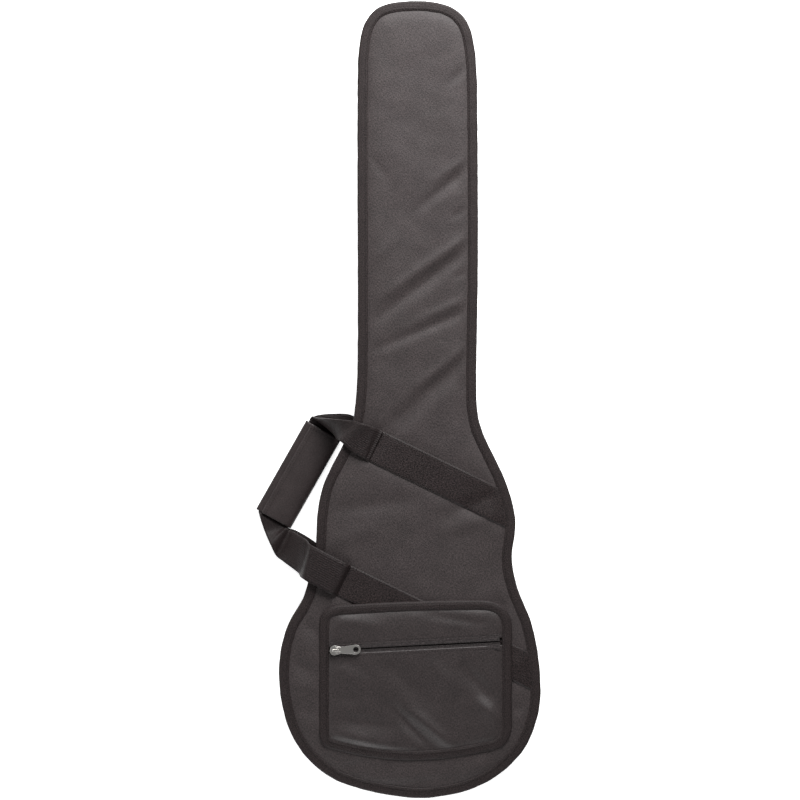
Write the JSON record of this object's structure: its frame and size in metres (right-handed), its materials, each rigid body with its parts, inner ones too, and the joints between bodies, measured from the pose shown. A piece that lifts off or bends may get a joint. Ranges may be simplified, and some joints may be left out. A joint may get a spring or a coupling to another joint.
{
  "type": "padded gig bag",
  "caption": "Padded carry bag for a solid-body electric guitar, shaped like the guitar, with a zipped front panel, a front pocket and a side carry handle with a wrap.",
  "frame": {"origin": "on the outer face of the back panel, on the widest line of the lower bout", "axes": "the bag lies on its back: +X to its right seen from the front, +Y towards the headstock end, +Z from the back panel to the front panel"},
  "size_m": [0.3827, 1.0628, 0.0749],
  "materials": {
    "nylon_cloth": "woven matt",
    "binding_tape": "grosgrain",
    "webbing": "ribbed webbing",
    "wrap_cloth": "satin nylon",
    "foam": "closed-cell foam",
    "lining_cloth": "smooth woven",
    "zip_tape": "knitted tape",
    "coil": "satin nylon coil",
    "hook_and_loop": "hook and loop",
    "nickel": "polished nickel"
  },
  "bodies": {
    "back_shell": {"back_cover": "nylon_cloth", "back_foam": "foam", "back_lining": "lining_cloth", "back_binding": "binding_tape", "back_gusset_right": "nylon_cloth", "back_zip_tape_right": "zip_tape", "back_gusset_end": "nylon_cloth", "back_zip_tape_end": "zip_tape", "back_gusset_left": "nylon_cloth", "back_zip_tape_left": "zip_tape", "back_zip_coil": "coil", "spine_gusset": "nylon_cloth", "spine_cover": "nylon_cloth", "spine_foam": "foam", "spine_lining": "lining_cloth", "spine_binding": "binding_tape", "spine_webbing": "webbing", "spine_pocket_cloth": "nylon_cloth", "spine_pocket_binding": "binding_tape", "back_webbing_upper": "webbing", "back_webbing_lower": "webbing"},
    "front_panel": {"front_cover": "nylon_cloth", "front_foam": "foam", "front_lining": "lining_cloth", "front_binding": "binding_tape", "front_gusset_right": "nylon_cloth", "front_zip_tape_right": "zip_tape", "front_gusset_end": "nylon_cloth", "front_zip_tape_end": "zip_tape", "front_gusset_left": "nylon_cloth", "front_zip_tape_left": "zip_tape", "front_zip_coil": "coil", "front_webbing_upper": "webbing", "front_webbing_lower": "webbing", "pocket_upper_panel": "nylon_cloth", "pocket_lower_panel": "nylon_cloth", "pocket_binding": "binding_tape", "pocket_tape_upper": "zip_tape", "pocket_tape_lower": "zip_tape", "pocket_coil_upper": "coil", "pocket_coil_lower": "coil"},
    "pocket_slider": {"pocket_slider": "nickel"},
    "pocket_pull": {"pocket_pull": "nickel"},
    "front_handle": {"front_handle": "webbing"},
    "back_handle": {"back_handle": "webbing", "wrap_base": "wrap_cloth", "wrap_tab": "wrap_cloth", "wrap_loop_patch": "hook_and_loop"},
    "wrap_flap": {"wrap_flap": "wrap_cloth", "wrap_hook_patch": "hook_and_loop"},
    "upper_slider": {"zip_slider_upper": "nickel"},
    "upper_pull": {"zip_pull_upper": "nickel"},
    "lower_slider": {"zip_slider_lower": "nickel"},
    "lower_pull": {"zip_pull_lower": "nickel"}
  },
  "joints": [
    {"name": "front_panel_fold", "type": "hinge", "parent": "back_shell", "child": "front_panel", "pos_m": [0.124, 0, 0.0645], "axis": [0, 1, 0], "range_deg": [0, 115]},
    {"name": "pocket_zip", "type": "slide", "parent": "front_panel", "child": "pocket_slider", "axis": [0.9986, 0.0523, 0], "range_m": [0, 0.205]},
    {"name": "pocket_pull_hinge", "type": "hinge", "parent": "pocket_slider", "child": "pocket_pull", "pos_m": [-0.09972, 0.05114, 0.0716], "axis": [0.0523, -0.9986, 0], "range_deg": [0, 165]},
    {"name": "front_handle_lift", "type": "hinge", "parent": "front_panel", "child": "front_handle", "pos_m": [-0.047, 0.32232, 0.0624], "axis": [0.2365, 0.9716, 0], "range_deg": [0, 135]},
    {"name": "back_handle_lift", "type": "hinge", "parent": "back_shell", "child": "back_handle", "pos_m": [-0.0871, 0.349, 0.0009], "axis": [0.2467, 0.9691, 0], "range_deg": [0, 20.1]},
    {"name": "wrap_flap_open", "type": "hinge", "parent": "back_handle", "child": "wrap_flap", "pos_m": [-0.13073, 0.27057, 0.007], "axis": [0.4934, 0.8698, 0], "range_deg": [0, 90]},
    {"name": "main_zip_upper", "type": "slide", "parent": "back_shell", "child": "upper_slider", "axis": [0, 1, 0], "range_m": [0, 0.16]},
    {"name": "upper_pull_hinge", "type": "hinge", "parent": "upper_slider", "child": "upper_pull", "pos_m": [-0.0655, 0.606, 0.03], "axis": [0, 0, 1], "range_deg": [0, 165]},
    {"name": "main_zip_lower", "type": "slide", "parent": "back_shell", "child": "lower_slider", "axis": [0, -1, 0], "range_m": [0, 0.12]},
    {"name": "lower_pull_hinge", "type": "hinge", "parent": "lower_slider", "child": "lower_pull", "pos_m": [-0.0655, 0.588, 0.03], "axis": [0, 0, -1], "range_deg": [0, 165]}
  ],
  "couplings": [
    {"joint": "back_handle_lift", "follows": "front_handle_lift", "ratio": 0.14815}
  ]
}
